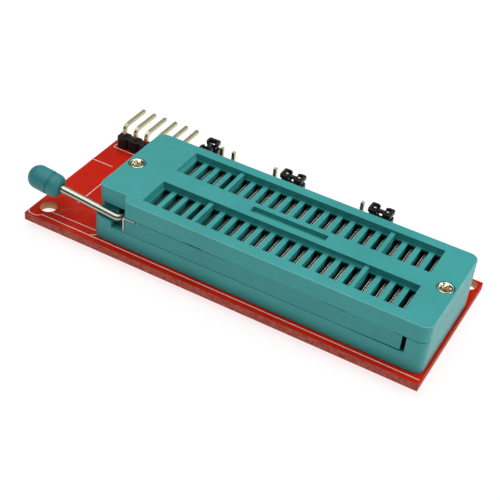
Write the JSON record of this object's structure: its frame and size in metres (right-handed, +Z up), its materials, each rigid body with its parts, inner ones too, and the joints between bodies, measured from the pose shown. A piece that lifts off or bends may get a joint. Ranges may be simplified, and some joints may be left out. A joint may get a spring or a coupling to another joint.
{
  "type": "microcontroller socket programming adapter",
  "caption": "Programming adapter board with a lever-operated zero-insertion-force chip socket, a right-angle pin header and jumper headers with caps.",
  "frame": {"origin": "centre of the board's underside", "axes": "+X along the board from the lever's knob to the far end of the socket, +Y from the lever's arm to the pin headers, +Z up out of the board"},
  "size_m": [0.0798, 0.0363, 0.0134],
  "materials": {
    "board": "red solder mask over glass-epoxy laminate",
    "socket": "moulded teal plastic, satin",
    "plate": "thin plated spring steel",
    "contacts": "tin-plated spring bronze",
    "lever": "nickel-plated steel wire",
    "knob": "moulded teal plastic, slightly darker than the socket",
    "rivet": "nickel-plated brass, polished",
    "icsp": "black header housing with gold-flashed square pins",
    "headers": "black header housings with gold-flashed square pins",
    "caps": "black moulded plastic, semi-gloss",
    "clips": "tin-plated phosphor bronze"
  },
  "bodies": {
    "board": {"pcb": "board", "socket_base": "socket", "socket_cover": "socket", "contact_front_01": "contacts", "contact_front_02": "contacts", "contact_front_03": "contacts", "contact_front_04": "contacts", "contact_front_05": "contacts", "contact_front_06": "contacts", "contact_front_07": "contacts", "contact_front_08": "contacts", "contact_front_09": "contacts", "contact_front_10": "contacts", "contact_front_11": "contacts", "contact_front_12": "contacts", "contact_front_13": "contacts", "contact_front_14": "contacts", "contact_front_15": "contacts", "contact_front_16": "contacts", "contact_front_17": "contacts", "contact_front_18": "contacts", "contact_front_19": "contacts", "contact_front_20": "contacts", "contact_back_01": "contacts", "contact_back_02": "contacts", "contact_back_03": "contacts", "contact_back_04": "contacts", "contact_back_05": "contacts", "contact_back_06": "contacts", "contact_back_07": "contacts", "contact_back_08": "contacts", "contact_back_09": "contacts", "contact_back_10": "contacts", "contact_back_11": "contacts", "contact_back_12": "contacts", "contact_back_13": "contacts", "contact_back_14": "contacts", "contact_back_15": "contacts", "contact_back_16": "contacts", "contact_back_17": "contacts", "contact_back_18": "contacts", "contact_back_19": "contacts", "contact_back_20": "contacts", "rivet_left": "rivet", "rivet_right": "rivet", "icsp_header": "icsp", "jumper_header_1": "headers", "jumper_header_2": "headers", "jumper_header_3": "headers"},
    "lever": {"lever_rod": "lever", "lever_knob": "knob"},
    "slider": {"slider": "socket", "wear_plate": "plate"},
    "cap_1": {"jumper_cap_1": "caps", "jumper_clip_1": "clips"},
    "cap_2": {"jumper_cap_2": "caps", "jumper_clip_2": "clips"},
    "cap_3": {"jumper_cap_3": "caps", "jumper_clip_3": "clips"}
  },
  "joints": [
    {"name": "lever_hinge", "type": "hinge", "parent": "board", "child": "lever", "pos_m": [-0.02035, -0.01285, 0.00702], "axis": [0, 1, 0], "range_deg": [0, 85]},
    {"name": "slider_slide", "type": "slide", "parent": "board", "child": "slider", "axis": [1, 0, 0], "range_m": [0, 0.0005]},
    {"name": "cap_1_pull", "type": "slide", "parent": "board", "child": "cap_1", "axis": [0, 0, 1], "range_m": [0, 0.006]},
    {"name": "cap_2_pull", "type": "slide", "parent": "board", "child": "cap_2", "axis": [0, 0, 1], "range_m": [0, 0.006]},
    {"name": "cap_3_pull", "type": "slide", "parent": "board", "child": "cap_3", "axis": [0, 0, 1], "range_m": [0, 0.006]}
  ],
  "couplings": [
    {"joint": "lever_hinge", "follows": "slider_slide", "rad_per_m": 2967}
  ]
}
